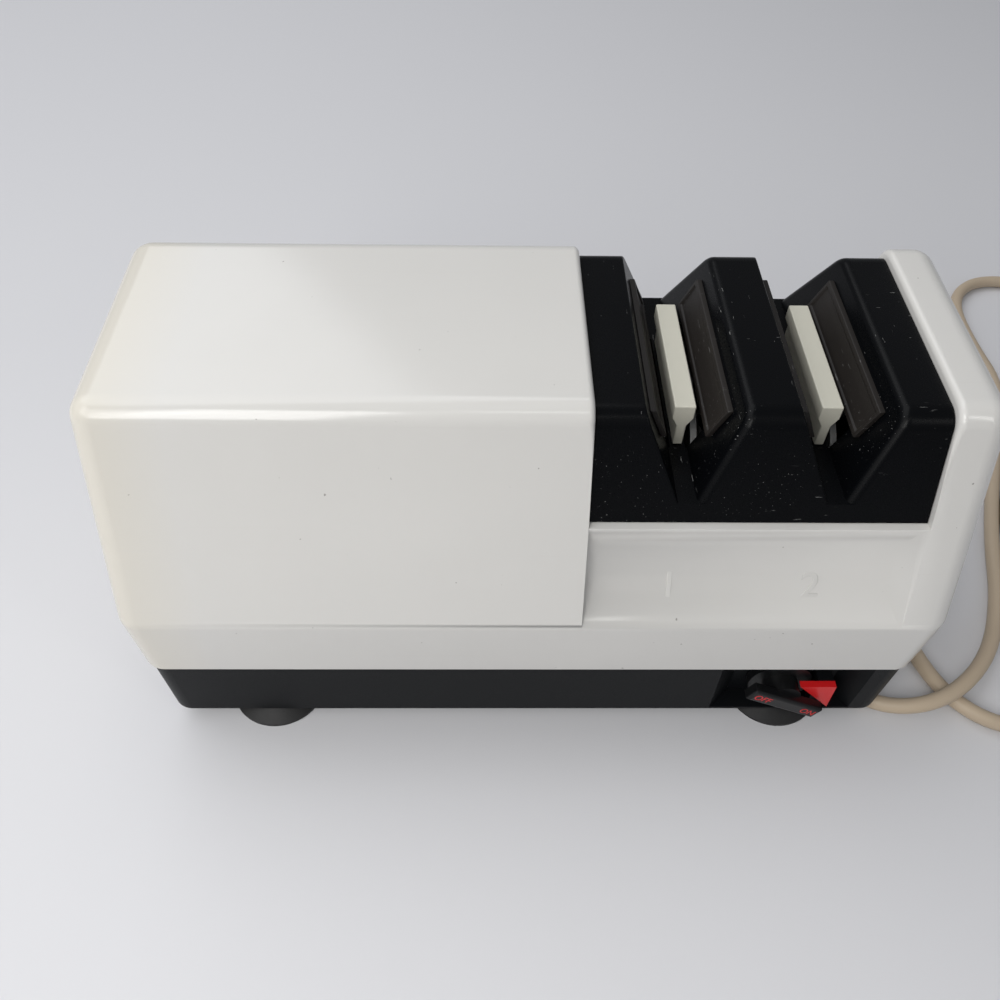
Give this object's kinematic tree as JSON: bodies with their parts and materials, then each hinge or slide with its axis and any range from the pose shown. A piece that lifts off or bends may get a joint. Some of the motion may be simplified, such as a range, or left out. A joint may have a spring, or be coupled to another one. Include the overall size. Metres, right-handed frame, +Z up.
{
  "type": "electric knife sharpener",
  "caption": "Countertop electric knife sharpener with V-notch blade guides over spring-loaded grinding disks, a rotary switch, suction feet and a mains lead.",
  "frame": {"origin": "centre of the body's footprint on the table", "axes": "+X along the body to the right seen from the front, -Y the front with the switch, +Z up"},
  "size_m": [0.3508, 0.2233, 0.113],
  "materials": {
    "white_abs": "glossy moulded",
    "black_abs": "semi-gloss moulded",
    "charcoal_abs": "satin moulded",
    "foot_rubber": "matte",
    "cream_nylon": "satin",
    "magnet_brown": "satin",
    "switch_black": "satin",
    "indicator_red": "glossy",
    "steel": "ground",
    "cast_alloy": "as cast",
    "bronze": "machined",
    "copper": "enamelled wire",
    "abrasive_steel": "diamond grit",
    "cord_beige": "soft satin"
  },
  "bodies": {
    "housing": {"upper_cover": "white_abs", "base_tray": "charcoal_abs", "guide_housing": "black_abs", "base_screws": "steel", "center_guide_1": "cream_nylon", "center_guide_2": "cream_nylon", "motor_stator": "steel", "coil_bobbin": "cream_nylon", "coil_winding": "copper", "rear_bracket": "cast_alloy", "front_bracket": "cast_alloy", "rear_bearing": "bronze", "front_bearing": "bronze", "bracket_bolts": "steel", "end_post": "black_abs", "end_bearing": "bronze", "switch_body": "switch_black", "switch_indicator": "indicator_red", "strain_relief": "cord_beige", "power_cord": "cord_beige", "cord_coil": "cord_beige", "plug_body": "cord_beige", "plug_blades": "bronze", "suction_foot_front_left": "foot_rubber", "suction_foot_front_right": "foot_rubber", "suction_foot_rear_left": "foot_rubber", "suction_foot_rear_right": "foot_rubber", "magnet_guide_1_left": "magnet_brown", "magnet_guide_1_right": "magnet_brown", "magnet_guide_2_left": "magnet_brown", "magnet_guide_2_right": "magnet_brown"},
    "rotor": {"motor_rotor": "steel", "drive_shaft": "steel", "cooling_fan": "black_abs", "drive_pins": "steel", "disk_spring_1": "steel", "disk_spring_2": "steel"},
    "knob": {"switch_knob": "switch_black", "switch_shaft": "switch_black"},
    "disk_1_left": {"grinding_disk_1_left": "abrasive_steel"},
    "disk_1_right": {"grinding_disk_1_right": "abrasive_steel"},
    "disk_2_left": {"grinding_disk_2_left": "abrasive_steel"},
    "disk_2_right": {"grinding_disk_2_right": "abrasive_steel"}
  },
  "joints": [
    {"name": "rotor_spin", "type": "hinge", "parent": "housing", "child": "rotor", "pos_m": [0, 0, 0.066], "axis": [1, 0, 0], "continuous": true},
    {"name": "knob_turn", "type": "hinge", "parent": "housing", "child": "knob", "pos_m": [0.0735, -0.045, 0.0165], "axis": [0, -1, 0], "range_deg": [0, 50]},
    {"name": "disk_1_left_slide", "type": "slide", "parent": "rotor", "child": "disk_1_left", "axis": [1, 0, 0], "range_m": [0, 0.0015], "stiffness_N_per_m": 600, "springref_m": -0.003, "deforming": ["disk_spring_1"]},
    {"name": "disk_1_right_slide", "type": "slide", "parent": "rotor", "child": "disk_1_right", "axis": [-1, 0, 0], "range_m": [0, 0.0015], "stiffness_N_per_m": 600, "springref_m": -0.003, "deforming": ["disk_spring_1"]},
    {"name": "disk_2_left_slide", "type": "slide", "parent": "rotor", "child": "disk_2_left", "axis": [1, 0, 0], "range_m": [0, 0.0015], "stiffness_N_per_m": 600, "springref_m": -0.003, "deforming": ["disk_spring_2"]},
    {"name": "disk_2_right_slide", "type": "slide", "parent": "rotor", "child": "disk_2_right", "axis": [-1, 0, 0], "range_m": [0, 0.0015], "stiffness_N_per_m": 600, "springref_m": -0.003, "deforming": ["disk_spring_2"]}
  ]
}
